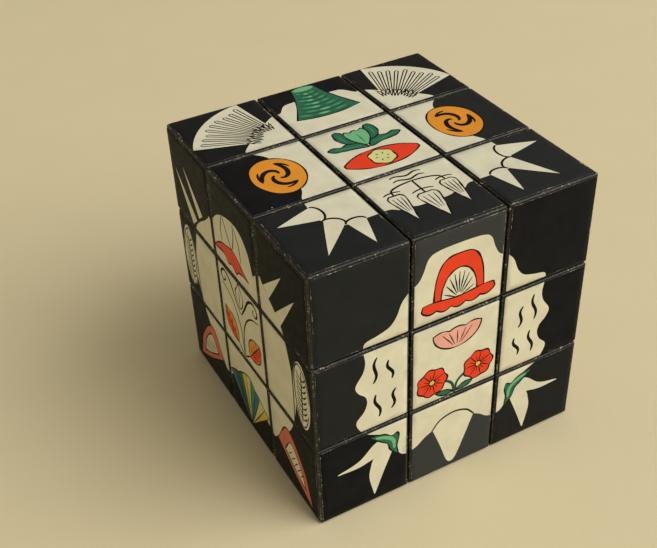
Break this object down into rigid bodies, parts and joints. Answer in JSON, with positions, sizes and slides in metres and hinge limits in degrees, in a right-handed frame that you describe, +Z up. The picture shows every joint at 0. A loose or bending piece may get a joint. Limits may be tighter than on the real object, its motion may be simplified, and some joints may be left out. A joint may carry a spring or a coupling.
{
  "type": "twisty cube puzzle",
  "caption": "Twisty cube puzzle of hollow black cubies with printed picture labels, turning in layers about a screwed spider core with sprung centres.",
  "frame": {"origin": "centre of the core, where the turning axes of all six sides meet", "axes": "+Z up through the top side, -Y out of the front side, +X out of the right side"},
  "size_m": [0.0574, 0.0574, 0.0574],
  "materials": {
    "black_plastic": "satin moulded plastic, worn along the edges",
    "core_plastic": "natural moulded plastic",
    "spring_steel": "drawn wire",
    "screw_steel": "zinc plated",
    "printed_label": "printed label, semi-gloss ink"
  },
  "bodies": {
    "middle_layer": {"core": "core_plastic", "edge_cap_middle_back_left": "black_plastic", "edge_cap_middle_back_right": "black_plastic", "edge_cap_middle_front_left": "black_plastic", "edge_cap_middle_front_right": "black_plastic", "middle_edge_bases": "black_plastic", "middle_row_stickers": "printed_label", "tension_screws": "screw_steel", "washers": "screw_steel"},
    "top_layer": {"corner_cap_top_back_left": "black_plastic", "corner_cap_top_back_right": "black_plastic", "corner_cap_top_front_left": "black_plastic", "corner_cap_top_front_right": "black_plastic", "edge_cap_top_back": "black_plastic", "edge_cap_top_front": "black_plastic", "edge_cap_top_left": "black_plastic", "edge_cap_top_right": "black_plastic", "top_corner_bases": "black_plastic", "top_edge_bases": "black_plastic", "top_face_stickers": "printed_label", "top_row_stickers": "printed_label"},
    "bottom_layer": {"bottom_corner_bases": "black_plastic", "bottom_edge_bases": "black_plastic", "bottom_face_stickers": "printed_label", "bottom_row_stickers": "printed_label", "corner_cap_bottom_back_left": "black_plastic", "corner_cap_bottom_back_right": "black_plastic", "corner_cap_bottom_front_left": "black_plastic", "corner_cap_bottom_front_right": "black_plastic", "edge_cap_bottom_back": "black_plastic", "edge_cap_bottom_front": "black_plastic", "edge_cap_bottom_left": "black_plastic", "edge_cap_bottom_right": "black_plastic"},
    "top_centre": {"centre_body_top": "black_plastic", "centre_cap_top": "black_plastic", "centre_sticker_top": "printed_label", "spring_top": "spring_steel"},
    "bottom_centre": {"centre_body_bottom": "black_plastic", "centre_cap_bottom": "black_plastic", "centre_sticker_bottom": "printed_label", "spring_bottom": "spring_steel"},
    "front_centre": {"centre_body_front": "black_plastic", "centre_cap_front": "black_plastic", "centre_sticker_front": "printed_label", "spring_front": "spring_steel"},
    "back_centre": {"centre_body_back": "black_plastic", "centre_cap_back": "black_plastic", "centre_sticker_back": "printed_label", "spring_back": "spring_steel"},
    "left_centre": {"centre_body_left": "black_plastic", "centre_cap_left": "black_plastic", "centre_sticker_left": "printed_label", "spring_left": "spring_steel"},
    "right_centre": {"centre_body_right": "black_plastic", "centre_cap_right": "black_plastic", "centre_sticker_right": "printed_label", "spring_right": "spring_steel"}
  },
  "joints": [
    {"name": "top_layer_turn", "type": "hinge", "parent": "middle_layer", "child": "top_layer", "pos_m": [0, 0, 0], "axis": [0, 0, 1], "continuous": true},
    {"name": "bottom_layer_turn", "type": "hinge", "parent": "middle_layer", "child": "bottom_layer", "pos_m": [0, 0, 0], "axis": [0, 0, 1], "continuous": true},
    {"name": "top_centre_float", "type": "slide", "parent": "top_layer", "child": "top_centre", "axis": [0, 0, 1], "range_m": [0, 0.001], "stiffness_N_per_m": 800, "springref_m": -0.003, "deforming": ["spring_top"]},
    {"name": "bottom_centre_float", "type": "slide", "parent": "bottom_layer", "child": "bottom_centre", "axis": [0, 0, -1], "range_m": [0, 0.001], "stiffness_N_per_m": 800, "springref_m": -0.003, "deforming": ["spring_bottom"]},
    {"name": "front_centre_float", "type": "slide", "parent": "middle_layer", "child": "front_centre", "axis": [0, -1, 0], "range_m": [0, 0.001], "stiffness_N_per_m": 800, "springref_m": -0.003, "deforming": ["spring_front"]},
    {"name": "back_centre_float", "type": "slide", "parent": "middle_layer", "child": "back_centre", "axis": [0, 1, 0], "range_m": [0, 0.001], "stiffness_N_per_m": 800, "springref_m": -0.003, "deforming": ["spring_back"]},
    {"name": "left_centre_float", "type": "slide", "parent": "middle_layer", "child": "left_centre", "axis": [-1, 0, 0], "range_m": [0, 0.001], "stiffness_N_per_m": 800, "springref_m": -0.003, "deforming": ["spring_left"]},
    {"name": "right_centre_float", "type": "slide", "parent": "middle_layer", "child": "right_centre", "axis": [1, 0, 0], "range_m": [0, 0.001], "stiffness_N_per_m": 800, "springref_m": -0.003, "deforming": ["spring_right"]}
  ]
}
